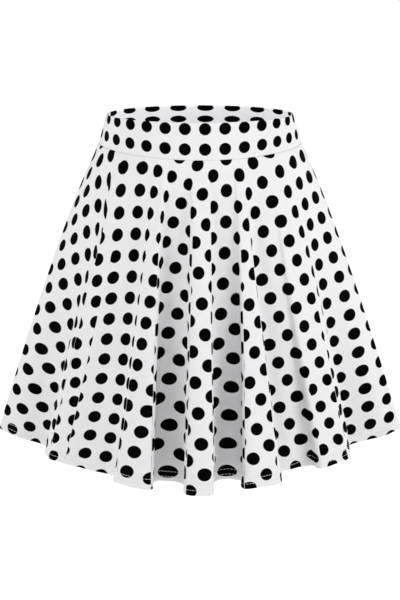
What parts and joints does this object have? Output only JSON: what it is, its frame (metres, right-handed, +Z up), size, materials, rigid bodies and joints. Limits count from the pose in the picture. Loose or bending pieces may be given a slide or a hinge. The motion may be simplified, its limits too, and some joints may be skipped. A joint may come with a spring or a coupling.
{
  "type": "flared mini skirt",
  "caption": "Worn flared mini skirt in dotted jersey, with a fitted waistband and soft flare folds, hollow and open at the waist and hem.",
  "frame": {"origin": "centre of the waistband at mid height, where the wearer's waist holds the skirt", "axes": "+Z up, the front faces -Y, +X towards the wearer's left"},
  "size_m": [0.546, 0.3848, 0.4502],
  "materials": {
    "band_jersey": "matt white jersey with black dots, doubled",
    "skirt_jersey": "matt white jersey with black dots"
  },
  "bodies": {
    "root": {"waistband_front": "band_jersey", "waistband_back": "band_jersey", "skirt_front": "skirt_jersey", "skirt_back": "skirt_jersey"}
  },
  "joints": []
}
